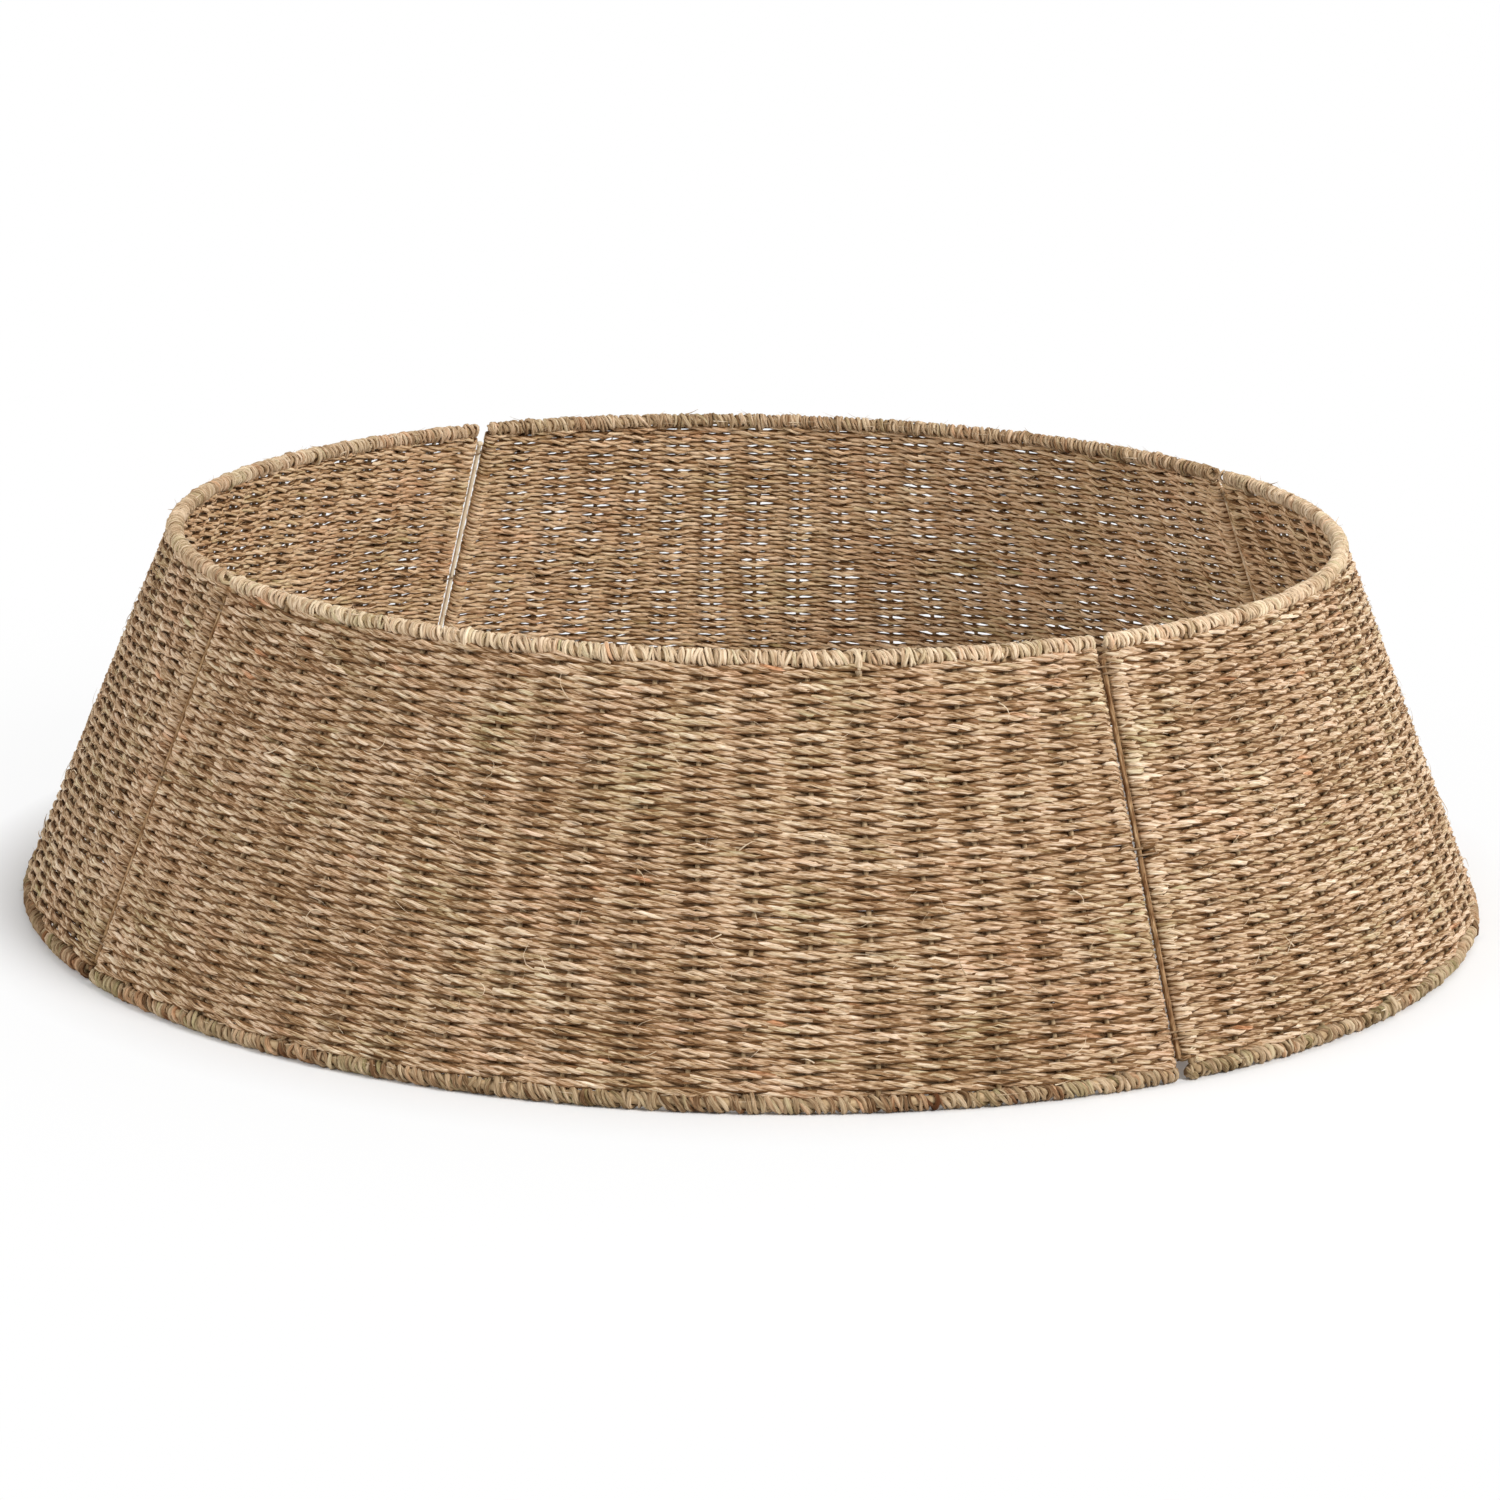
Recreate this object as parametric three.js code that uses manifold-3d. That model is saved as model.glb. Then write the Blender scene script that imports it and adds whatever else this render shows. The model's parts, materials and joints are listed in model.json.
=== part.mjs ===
// Woven seagrass collar that stands round the foot of a Christmas tree and hides its stand.
// Four curved panels make a cone that is open above and below. Each panel is a welded wire frame with
// a woven wall and bound rims, and cane pins through wire loops join the panels edge to edge.
// Millimetres, +Z up, origin on the floor in the middle of the ring, front panel towards -Y.

import * as THREE from 'three';
import { mergeVertices } from 'three/addons/utils/BufferGeometryUtils.js';
import Module from 'manifold-3d';

const wasm = await Module();
wasm.setup();

// Driving dimensions
const BOTTOM_DIAMETER = 760;
const TOP_DIAMETER = 608;
const HEIGHT = 195;
const PANEL_NAMES = ['front', 'right', 'back', 'left'];
const CLOSING_PANEL = 'back';

// Wire frame of a panel
const RAIL_RADIUS = 3;
const SIDE_RAIL_RADIUS = 2;
const STAKE_RADIUS = 1.7;
const STAKE_SPACES = 20;

// Woven wall and wound rims
const WALL_THICKNESS = 8.8;
const WALL_CLEARANCE = 0.3;
const BAND_THICKNESS = 1.4;
const BAND_CLEARANCE = 0.5;

// Pins and the wire loops on them
const PIN_RADIUS = 1;
const PIN_CLEARANCE = 0.3;
const PIN_TAIL = 6;
const PIN_HEAD_RADIUS = 1.9;
const PIN_HEAD_HEIGHT = 1.6;
const LOOP_THICKNESS = 2;
const LOOP_WALL_AT_PIN = 1;
const LOOP_WALL_AT_RAIL = 1.6;
const LOOP_SPACING = 1.2;
const LOOP_COUNT = 3;
const LOOP_INSET = 15;
const CUP_SETBACK = 0.5;

// Facets, and where on its rail each band begins
const HEXAGON = 6;
const BAND_STRAIGHTS = 2;
const TOP_BAND_START = Math.PI / 3;
const BOTTOM_BAND_START = TOP_BAND_START - Math.PI;
const WIRE_SIDES = 4;
const ROUND_STEPS = 2;
const PIN_SIDES = 6;
const LOOP_ARC_STEPS = 2;
const HEX_FLAT = Math.cos(Math.PI / HEXAGON);
const WIRE_FLAT = Math.cos(Math.PI / WIRE_SIDES);

// Derived sizes
const HALF_PANEL = Math.PI / PANEL_NAMES.length;
const BAND_INNER_RADIUS = RAIL_RADIUS + BAND_CLEARANCE / HEX_FLAT;
const BAND_OUTER_RADIUS = BAND_INNER_RADIUS + BAND_THICKNESS / HEX_FLAT;
const LOOP_RADIUS_AT_PIN = PIN_RADIUS + PIN_CLEARANCE + LOOP_WALL_AT_PIN;
const LOOP_RADIUS_AT_RAIL = SIDE_RAIL_RADIUS + WALL_CLEARANCE + LOOP_WALL_AT_RAIL;
const PIN_TO_RAIL = WALL_THICKNESS / 2 + WALL_CLEARANCE + LOOP_RADIUS_AT_PIN;
const BOTTOM_RADIUS = BOTTOM_DIAMETER / 2 - BAND_OUTER_RADIUS;
const TOP_RADIUS = TOP_DIAMETER / 2 - BAND_OUTER_RADIUS;
const BAND_HALF_HEIGHT = BAND_OUTER_RADIUS * HEX_FLAT;
const BOTTOM_RAIL = { radius: BOTTOM_RADIUS, height: BAND_HALF_HEIGHT };
const TOP_RAIL = { radius: TOP_RADIUS, height: HEIGHT - BAND_HALF_HEIGHT };
const RAIL_RISE = TOP_RAIL.height - BOTTOM_RAIL.height;
const LEAN = Math.atan2(BOTTOM_RADIUS - TOP_RADIUS, RAIL_RISE);
const WALL_RUN = Math.hypot(BOTTOM_RADIUS - TOP_RADIUS, RAIL_RISE);
const WALL_START = BAND_OUTER_RADIUS + WALL_CLEARANCE;
const WALL_END = WALL_RUN - WALL_START;
const LOOP_STEP = (WALL_RUN - 2 * LOOP_INSET) / (LOOP_COUNT - 1);

// Directions at an angle across the front panel: 0 in its middle, positive to its right seen from outside
function outward(angle) {
  return new THREE.Vector3(Math.sin(angle), -Math.cos(angle), 0);
}

function wallNormal(angle) {
  return outward(angle).multiplyScalar(Math.cos(LEAN)).setZ(Math.sin(LEAN));
}

// Angle of a place along a rail: 0 is the left side rail, STAKE_SPACES the right one
function railAngle(rail, place) {
  const reach = HALF_PANEL - PIN_TO_RAIL / rail.radius;
  return reach * (2 * place / STAKE_SPACES - 1);
}

function railPoint(rail, angle, outBy = 0, upBy = 0) {
  return outward(angle).multiplyScalar(rail.radius + outBy).setZ(rail.height + upBy);
}

// A straight line up the wall, with directions across it and out of it
function slopeLine(bottomAngle, topAngle) {
  const start = railPoint(BOTTOM_RAIL, bottomAngle);
  const up = railPoint(TOP_RAIL, topAngle).sub(start).normalize();
  const middle = (bottomAngle + topAngle) / 2;
  const out = wallNormal(middle);
  const across = new THREE.Vector3().crossVectors(up, out).normalize();
  return { start, up, out, across };
}

function stakeLine(place) {
  return slopeLine(railAngle(BOTTOM_RAIL, place), railAngle(TOP_RAIL, place));
}

function seamLine(side) {
  return slopeLine(side * HALF_PANEL, side * HALF_PANEL);
}

function linePoint(line, run, acrossBy = 0, outBy = 0) {
  const point = line.start.clone().addScaledVector(line.up, run);
  return point.addScaledVector(line.across, acrossBy).addScaledVector(line.out, outBy);
}

// A closed solid through rings that all have the same number of points. A bore through the stretch
// after a ring of four enters by the ring's fourth side and leaves by its second.
function loft(rings, bores = []) {
  const count = rings[0].length;
  const points = rings.flat();
  const index = [];
  const quad = (a, b, c, d) => index.push(a, b, c, a, c, d);
  const surround = (corners, hole) => corners.forEach((corner, i) => {
    const next = (i + 1) % corners.length;
    quad(corner, corners[next], hole[next], hole[i]);
  });
  for (let ring = 0; ring < rings.length - 1; ring += 1) {
    const sides = Array.from({ length: count }, (_, side) => {
      const a = ring * count + side;
      const b = ring * count + (side + 1) % count;
      return [a, b, b + count, a + count];
    });
    if (bores[ring]) {
      const first = points.length;
      points.push(...bores[ring].entry, ...bores[ring].exit);
      const entry = [first, first + 1, first + 2, first + 3];
      const exit = [first + 4, first + 5, first + 6, first + 7];
      surround(sides[3], entry);
      surround(sides[1], exit);
      surround(exit, [entry[1], entry[0], entry[3], entry[2]]);
      quad(...sides[0]);
      quad(...sides[2]);
    } else {
      sides.forEach((side) => quad(...side));
    }
  }
  const last = (rings.length - 1) * count;
  for (let side = 1; side < count - 1; side += 1) {
    index.push(0, side + 1, side, last, last + side, last + side + 1);
  }
  const positions = points.flatMap((point) => point.toArray());
  const geometry = new THREE.BufferGeometry();
  geometry.setAttribute('position', new THREE.Float32BufferAttribute(positions, 3));
  geometry.setIndex(signedVolume(positions, index) < 0 ? index.reverse() : index);
  return geometry;
}

function signedVolume(positions, index) {
  const corner = (i) => new THREE.Vector3().fromArray(positions, 3 * i);
  let volume = 0;
  for (let i = 0; i < index.length; i += 3) {
    volume += corner(index[i]).dot(corner(index[i + 1]).cross(corner(index[i + 2]))) / 6;
  }
  return volume;
}

// A prism round a line, with a radius for each of its stations
function prism(line, sides, stations) {
  const rings = stations.map(({ run, radius }) => {
    return Array.from({ length: sides }, (_, side) => {
      const turn = 2 * Math.PI * (side + 0.5) / sides;
      return linePoint(line, run, radius * Math.cos(turn), radius * Math.sin(turn));
    });
  });
  return loft(rings);
}

function rod(line, sides, radius, from, to) {
  return prism(line, sides, [{ run: from, radius }, { run: to, radius }]);
}

// Boolean joins and cuts
function toSolid(geometry) {
  const bare = geometry.clone();
  bare.deleteAttribute('normal');
  bare.deleteAttribute('uv');
  const merged = mergeVertices(bare);
  const vertProperties = new Float32Array(merged.getAttribute('position').array);
  const triVerts = new Uint32Array(merged.getIndex().array);
  return new wasm.Manifold(new wasm.Mesh({ numProp: 3, vertProperties, triVerts }));
}

function toGeometry(solid) {
  const mesh = solid.getMesh();
  const geometry = new THREE.BufferGeometry();
  geometry.setAttribute('position', new THREE.Float32BufferAttribute(mesh.vertProperties, 3));
  geometry.setIndex(new THREE.Uint32BufferAttribute(mesh.triVerts, 1));
  return geometry;
}

function join(geometries) {
  const solids = geometries.map(toSolid);
  return toGeometry(solids.reduce((sum, solid) => sum.add(solid)));
}

function cut(geometry, tools) {
  const solid = tools.map(toSolid).reduce((rest, tool) => rest.subtract(tool), toSolid(geometry));
  return toGeometry(solid);
}

function stakePlaces() {
  return Array.from({ length: STAKE_SPACES + 1 }, (_, place) => place);
}

// Places where the rails and the wall bend: both side rails and the middle of each space
function bendPlaces() {
  const middles = Array.from({ length: STAKE_SPACES }, (_, space) => space + 0.5);
  return [0, ...middles, STAKE_SPACES];
}

function wireRadius(place) {
  return place === 0 || place === STAKE_SPACES ? SIDE_RAIL_RADIUS : STAKE_RADIUS;
}

// Welded wire frame: two hexagonal rails, two side rails and the stakes between them
function railRing(rail, place) {
  const angle = railAngle(rail, place);
  return Array.from({ length: HEXAGON }, (_, side) => {
    const turn = 2 * Math.PI * (side + 0.5) / HEXAGON;
    return railPoint(rail, angle, RAIL_RADIUS * Math.sin(turn), RAIL_RADIUS * Math.cos(turn));
  });
}

function frameGeometry() {
  const rails = [BOTTOM_RAIL, TOP_RAIL].map((rail) => {
    return loft(bendPlaces().map((place) => railRing(rail, place)));
  });
  const wires = stakePlaces().map((place) => {
    return rod(stakeLine(place), WIRE_SIDES, wireRadius(place), 0, WALL_RUN);
  });
  return join([...rails, ...wires]);
}

// Woven wall: one shell from rim to rim, rounded round the side rails, with a way through for each wire
function wallRing(place, acrossBy, half) {
  const line = stakeLine(place);
  return [
    linePoint(line, WALL_START, acrossBy, -half),
    linePoint(line, WALL_END, acrossBy, -half),
    linePoint(line, WALL_END, acrossBy, half),
    linePoint(line, WALL_START, acrossBy, half),
  ];
}

function stakeBore(place) {
  const line = stakeLine(place);
  const half = STAKE_RADIUS * WIRE_FLAT + WALL_CLEARANCE;
  const corners = (run, first) => [[-1, first], [-1, -first], [1, -first], [1, first]].map(
    ([side, out]) => linePoint(line, run, side * half, out * half),
  );
  return { entry: corners(WALL_START, 1), exit: corners(WALL_END, -1) };
}

function wallGeometry() {
  const half = WALL_THICKNESS / 2;
  const rounding = Array.from({ length: ROUND_STEPS }, (_, step) => {
    const turn = Math.PI * (step + 1) / (2 * ROUND_STEPS + 1);
    return { across: half * Math.sin(turn), half: half * Math.cos(turn) };
  });
  const rings = [
    ...rounding.toReversed().map((ring) => wallRing(0, -ring.across, ring.half)),
    ...bendPlaces().map((place) => wallRing(place, 0, half)),
    ...rounding.map((ring) => wallRing(STAKE_SPACES, ring.across, ring.half)),
  ];
  const bores = [];
  for (let place = 1; place < STAKE_SPACES; place += 1) {
    bores[ROUND_STEPS + place] = stakeBore(place);
  }
  const sideBores = [0, STAKE_SPACES].map((place) => {
    return rod(stakeLine(place), WIRE_SIDES, SIDE_RAIL_RADIUS + WALL_CLEARANCE / WIRE_FLAT, 0, WALL_RUN);
  });
  return cut(loft(rings, bores), [...sideBores, ...loopNotches()]);
}

// Heights of the loops along a seam: the eyes of one panel, and the loops of the next just above them
function loopRuns(side) {
  const lift = side > 0 ? LOOP_THICKNESS + LOOP_SPACING : 0;
  return Array.from({ length: LOOP_COUNT }, (_, number) => LOOP_INSET + number * LOOP_STEP + lift);
}

function edgeRail(side) {
  return stakeLine(side > 0 ? STAKE_SPACES : 0);
}

function loopNotches() {
  const deep = LOOP_RADIUS_AT_RAIL + WALL_CLEARANCE;
  const high = LOOP_THICKNESS + 2 * WALL_CLEARANCE;
  return [-1, 1].flatMap((side) => {
    return loopRuns(side).map((run) => {
      const line = edgeRail(side);
      const corners = [-WALL_THICKNESS, WALL_THICKNESS].map((outBy) => [
        linePoint(line, run - high / 2, -side * deep, outBy),
        linePoint(line, run + high / 2, -side * deep, outBy),
        linePoint(line, run + high / 2, side * PIN_TO_RAIL, outBy),
        linePoint(line, run - high / 2, side * PIN_TO_RAIL, outBy),
      ]);
      return loft(corners);
    });
  });
}

// Wound rim: one unbroken band that turns round the rail once in every space between two wires.
// It runs straight past the sides where the wires come in and moves on to the next space on the others.
function bandRing(rail, place, turn) {
  const halfWidth = (railAngle(rail, 1) - railAngle(rail, 0)) / 2
    - (SIDE_RAIL_RADIUS + BAND_CLEARANCE) / rail.radius;
  const middle = railAngle(rail, place);
  const at = (radius, angle) => railPoint(rail, angle, radius * Math.sin(turn), radius * Math.cos(turn));
  return [
    at(BAND_INNER_RADIUS, middle - halfWidth),
    at(BAND_INNER_RADIUS, middle + halfWidth),
    at(BAND_OUTER_RADIUS, middle + halfWidth),
    at(BAND_OUTER_RADIUS, middle - halfWidth),
  ];
}

function bandRings(rail, firstTurn) {
  const rings = [];
  for (let space = 0; space < STAKE_SPACES; space += 1) {
    const corners = space === STAKE_SPACES - 1 ? BAND_STRAIGHTS + 1 : HEXAGON;
    for (let corner = 0; corner < corners; corner += 1) {
      const moved = Math.max(0, corner - BAND_STRAIGHTS) / (HEXAGON - BAND_STRAIGHTS);
      const turn = firstTurn + 2 * Math.PI * (corner + 0.5) / HEXAGON;
      rings.push(bandRing(rail, space + 0.5 + moved, turn));
    }
  }
  return rings;
}

// Least distance between neighbouring turns of a band, on points along both of its edges
function leastTurnGap(rings) {
  const samples = 4;
  const leadingEdge = 2;
  const trailingEdge = 3;
  const edge = (ring, step, corner) => {
    return rings[ring][corner].clone().lerp(rings[ring + 1][corner], step / samples);
  };
  let least = Infinity;
  for (let ring = 0; ring < rings.length - 1; ring += 1) {
    for (let other = ring + HEXAGON - 1; other < Math.min(ring + HEXAGON + 2, rings.length - 1); other += 1) {
      for (let step = 0; step < samples * samples; step += 1) {
        const near = edge(ring, step % samples, leadingEdge);
        const far = edge(other, Math.floor(step / samples), trailingEdge);
        least = Math.min(least, near.distanceTo(far));
      }
    }
  }
  return least;
}

function bandGeometry(name, rail, firstTurn) {
  const rings = bandRings(rail, firstTurn);
  console.log(`${name} band, least gap between turns: ${leastTurnGap(rings).toFixed(2)} mm`);
  return loft(rings);
}

// Flat wire loop: a ring round the side rail, drawn out to a ring round the pin
function polygonHole(x, sides, radius) {
  const path = new THREE.Path();
  for (let i = 0; i < sides; i += 1) {
    const turn = 2 * Math.PI * (i + 0.5) / sides;
    const point = [x + radius * Math.cos(turn), radius * Math.sin(turn)];
    if (i === 0) {
      path.moveTo(...point);
    } else {
      path.lineTo(...point);
    }
  }
  path.closePath();
  return path;
}

function loopOutline(closed) {
  const flank = Math.acos((LOOP_RADIUS_AT_RAIL - LOOP_RADIUS_AT_PIN) / PIN_TO_RAIL);
  const shape = new THREE.Shape();
  shape.absarc(0, 0, LOOP_RADIUS_AT_RAIL, flank, 2 * Math.PI - flank);
  if (closed) {
    shape.absarc(PIN_TO_RAIL, 0, LOOP_RADIUS_AT_PIN, -flank, flank);
  } else {
    const mouth = PIN_RADIUS + PIN_CLEARANCE;
    const tip = PIN_TO_RAIL - CUP_SETBACK;
    const back = Math.acos(CUP_SETBACK / mouth);
    shape.lineTo(tip, -LOOP_RADIUS_AT_PIN);
    shape.absarc(PIN_TO_RAIL, 0, mouth, Math.PI + back, Math.PI - back, true);
    shape.lineTo(tip, LOOP_RADIUS_AT_PIN);
  }
  shape.closePath();
  shape.holes.push(polygonHole(0, WIRE_SIDES, SIDE_RAIL_RADIUS + WALL_CLEARANCE / WIRE_FLAT));
  if (closed) {
    shape.holes.push(polygonHole(PIN_TO_RAIL, PIN_SIDES, PIN_RADIUS + PIN_CLEARANCE / HEX_FLAT));
  }
  return shape;
}

function loopGeometry(side, run, closed) {
  const line = edgeRail(side);
  const geometry = new THREE.ExtrudeGeometry(loopOutline(closed), {
    depth: LOOP_THICKNESS,
    curveSegments: LOOP_ARC_STEPS,
    bevelEnabled: false,
  });
  const towardsPin = line.across.clone().multiplyScalar(side);
  const turned = new THREE.Vector3().crossVectors(line.up, towardsPin);
  const place = new THREE.Matrix4().makeBasis(towardsPin, turned, line.up);
  place.setPosition(linePoint(line, run - LOOP_THICKNESS / 2));
  return geometry.applyMatrix4(place);
}

// Cane pin that hangs by its head on the topmost loop of its seam
function pinGeometry() {
  const seat = Math.max(...loopRuns(1)) + LOOP_THICKNESS / 2 + PIN_CLEARANCE;
  return prism(seamLine(-1), PIN_SIDES, [
    { run: PIN_TAIL, radius: PIN_RADIUS },
    { run: seat, radius: PIN_RADIUS },
    { run: seat, radius: PIN_HEAD_RADIUS },
    { run: seat + PIN_HEAD_HEIGHT, radius: PIN_HEAD_RADIUS },
  ]);
}

// Finishes
const wire = new THREE.MeshStandardMaterial({ color: 0x8a6a48, roughness: 0.6, metalness: 0.4 });
const seagrass = new THREE.MeshStandardMaterial({ color: 0xbe9b73, roughness: 0.9, metalness: 0 });
const paleSeagrass = new THREE.MeshStandardMaterial({ color: 0xe1cda5, roughness: 0.9, metalness: 0 });
const darkWire = new THREE.MeshStandardMaterial({ color: 0x6b543c, roughness: 0.5, metalness: 0.6 });
const cane = new THREE.MeshStandardMaterial({ color: 0xe6d7b4, roughness: 0.7, metalness: 0 });

function mesh(name, geometry, material) {
  const piece = new THREE.Mesh(geometry, material);
  piece.name = name;
  return piece;
}

// The panels are alike, so each shape is made once and set four times round the ring
const frame = frameGeometry();
const wall = wallGeometry();
const topBand = bandGeometry('top', TOP_RAIL, TOP_BAND_START);
const bottomBand = bandGeometry('bottom', BOTTOM_RAIL, BOTTOM_BAND_START);
const pin = pinGeometry();

function panelGroup(name, number) {
  const group = new THREE.Group();
  group.rotation.z = 2 * HALF_PANEL * number;
  group.add(mesh(`${name}_frame`, frame, wire));
  group.add(mesh(`${name}_weave`, wall, seagrass));
  group.add(mesh(`${name}_top_binding`, topBand, paleSeagrass));
  group.add(mesh(`${name}_bottom_binding`, bottomBand, seagrass));
  group.add(mesh(`${name}_pin`, pin, cane));
  for (let i = 0; i < LOOP_COUNT; i += 1) {
    const eye = loopGeometry(-1, loopRuns(-1)[i], true);
    const loop = loopGeometry(1, loopRuns(1)[i], name !== CLOSING_PANEL);
    group.add(mesh(`${name}_eye_${i + 1}`, eye, darkWire));
    group.add(mesh(`${name}_loop_${i + 1}`, loop, darkWire));
  }
  return group;
}

const collar = new THREE.Group();
collar.add(...PANEL_NAMES.map(panelGroup));

export default collar;
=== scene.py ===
# Woven seagrass collar for the foot of a Christmas tree: four curved panels, pinned edge to edge.
# Each panel is a wire frame woven with twisted cord, with whipped rims. Metres, in the part's own frame.
import json
import math

import bmesh
import bpy
import numpy as np
from mathutils import Matrix, Vector


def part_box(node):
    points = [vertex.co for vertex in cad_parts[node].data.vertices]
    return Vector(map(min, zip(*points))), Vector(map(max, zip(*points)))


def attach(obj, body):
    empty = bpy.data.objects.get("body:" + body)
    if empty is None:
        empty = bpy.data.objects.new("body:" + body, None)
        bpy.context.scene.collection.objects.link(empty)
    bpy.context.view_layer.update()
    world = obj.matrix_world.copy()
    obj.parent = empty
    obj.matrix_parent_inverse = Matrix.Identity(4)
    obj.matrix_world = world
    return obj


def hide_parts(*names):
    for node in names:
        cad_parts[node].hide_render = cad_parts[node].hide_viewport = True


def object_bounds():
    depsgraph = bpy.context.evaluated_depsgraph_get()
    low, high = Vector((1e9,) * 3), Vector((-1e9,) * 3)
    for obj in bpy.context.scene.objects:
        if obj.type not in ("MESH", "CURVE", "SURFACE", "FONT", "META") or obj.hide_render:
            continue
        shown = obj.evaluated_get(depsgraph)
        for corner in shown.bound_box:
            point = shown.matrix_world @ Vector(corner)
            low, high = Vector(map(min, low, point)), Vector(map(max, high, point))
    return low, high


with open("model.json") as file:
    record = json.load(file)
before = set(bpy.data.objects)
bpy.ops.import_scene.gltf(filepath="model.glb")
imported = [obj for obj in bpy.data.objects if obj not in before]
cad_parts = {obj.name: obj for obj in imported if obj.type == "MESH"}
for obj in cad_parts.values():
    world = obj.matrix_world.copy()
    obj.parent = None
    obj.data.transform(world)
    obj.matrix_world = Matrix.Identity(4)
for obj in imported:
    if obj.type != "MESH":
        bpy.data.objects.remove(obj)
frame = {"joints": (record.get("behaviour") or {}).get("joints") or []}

cad_low, cad_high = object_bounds()

# Seeds of the random numbers, one group for each kind of piece
WEAVE_SEED = 24
TOP_RIM_SEED = 34
BOTTOM_RIM_SEED = 44
FIBRE_SEED = 54
CANE_SEED = 74
STAKE_SEED = 84

# The cone, from a seam's hinge and the whole part's height
seam_joint = next(joint for joint in frame["joints"] if joint["name"] == "right_panel_swing")
seam_foot = Vector(seam_joint["pos_m"])
seam_axis = Vector(seam_joint["axis"]).normalized()
PANELS = ("front", "right", "back", "left")
PANEL_ANGLE = 2 * math.pi / len(PANELS)
RIM_HEIGHT = seam_foot.z
BOTTOM_RADIUS = math.hypot(seam_foot.x, seam_foot.y)
SIN_LEAN = math.hypot(seam_axis.x, seam_axis.y)
COS_LEAN = abs(seam_axis.z)
WALL_RUN = (cad_high.z - 2 * RIM_HEIGHT) / COS_LEAN

# Wires of a panel
STAKE_SPACES = 20
STAKE_RADIUS = 0.0012
STAKE_WANDER = 0.0010
STAKE_POINTS = 9
SIDE_RAIL_RADIUS = 0.0020
RAIL_RADIUS = 0.0024
RAIL_POINTS_PER_SPACE = 3
PIN_TO_RAIL = 0.0070

# Rows of the woven wall, and how the cord swings round the stakes
ROWS = 68
ROWS_FROM_RAIL = 0.0044
ROW_WANDER = 0.0003
WALL_WANDER = 0.0007
CORD_SWING = 0.0026
SWING_POWER = 3
EDGE_TUCK = 0.0005
TUCK_FADE = 3

# Turns of the cord round the side rails: how far each reaches to the seam and is tucked in there
TURN_SWING = 0.0032
SNUG_TURN = (0.0050, 0.0036)
OPEN_TURN = (0.0035, 0.0)
SEAM_TURN = {"front": SNUG_TURN, "right": SNUG_TURN, "back": OPEN_TURN, "left": OPEN_TURN}
TURN_POINTS = 11
TURN_WRAP = 3 * math.pi
TURN_SLACK = 0.19

# Twisted cord: three plies over two inner strands, whose dark colour is painted shade
CORD_TWIST = 0.026
TWIST_WANDER = 1.2
PLIES = 3
PLY_RADIUS = 0.00122
PLY_OFFSET = 0.00085
PLY_POINTS_PER_SPACE = 8
PLY_PRESSED = 0.25
PLY_LUMPS = 0.09
CORD_LUMPS = 0.05
PATCH_LUMPS = 0.03
CORE_RADIUS = 0.00115
CORE_OFFSET = 0.00085
CORE_POINTS_PER_SPACE = 4

# How tall a cord is between the wires, and where it is left round or drawn flat over a wire
CORD_BETWEEN = {"front": 0.86, "right": 0.84, "back": 0.64, "left": 0.78}
CORE_BETWEEN = {"front": 1.25, "right": 1.25, "back": 0.62, "left": 0.8}
CORE_MIDDLE = {"front": 0.0, "right": 0.0, "back": 0.75, "left": 0.6}
ROUND_CORD = 1.0
FLAT_CORD = 2.0
OVER_WIRE_POWER = 12
MIDDLE_POWER = 8

# Slack of the cords, which are drawn tighter towards the top
SLACK = {"front": 0.0, "right": 0.0, "back": -0.6, "left": -0.6}
SLACK_WANDER = 0.35
TIGHT_TOP = 1.4
TIGHT_FROM = 0.6
TIGHT_RISE = 0.3

# Middle of the tones, which run from dark to pale, and of the hues, which run from greenish to rusty
MIDDLE = 0.5

# Tones of the cord by panel, on its outer and inner side: partly the cord's own tone, partly painted
# light, paler on the right panel's outer side where the key lamp falls and darker on its inner side, which
# lies in shade
OUTER_TONE_AND_PAINTED_LIGHT = {"front": 0.49, "right": 0.57, "back": 0.5, "left": 0.5}
INNER_TONE_AND_PAINTED_LIGHT = {"front": 0.5, "right": 0.4, "back": 0.53, "left": 0.49}
# Tones of the inner strands, whose dark colour is painted shade in the gaps between plies and rows
CORE_PAINTED_SHADE_TONE = {"front": 0.38, "right": 0.3, "back": 0.25, "left": 0.22}
EDGE_TONE = 0.04
EDGE_FADE = 4
PATCH_TONE = 0.01
PLY_TONE = 0.09
# Painted shade in the grooves between the plies: full within the floor distance of the cord's middle, none
# beyond the brim
GROOVE_FLOOR = 0.0006
GROOVE_BRIM = 0.0016
GROOVE_PAINTED_SHADE = 0.3

# Hues of the cord
CORD_HUE = 0.48
PATCH_HUE = 0.045
PLY_HUE = 0.04

# Short spots on each ply
SPOT_LENGTH = (0.004, 0.012)
PALE_SPOTS = 10
PALE_SPOT_TONE = 0.25
RUSTY_SPOTS = 5
RUSTY_SPOT_HUE = 0.3
GREEN_SPOTS = 4
GREEN_SPOT_HUE = 0.25

# Whipping of the rims, and where it is lashed over the first row of cord
WHIP_POINTS_PER_TURN = 10
WHIP_LUMPS = 0.2
RIM_CLEARANCE = 0.0003
LASH_WIDTH = 0.0018
LASH_REACH = (0.5, 1)
LASH_BULGE = 0.25
LEAST_STEP = 0.0001
# Tones of the rims by panel: partly the grass's own tone, partly painted light and shade, darker on the
# back panel's top rim, seen from its shaded inner side, and paler at the right panel's foot, where the key
# lamp falls
TOP_TONE_AND_PAINTED_LIGHT = {"front": 0.51, "right": 0.52, "back": 0.27, "left": 0.42}
FOOT_TONE_AND_PAINTED_LIGHT = {"front": 0.51, "right": 0.62, "back": 0.4, "left": 0.45}

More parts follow.
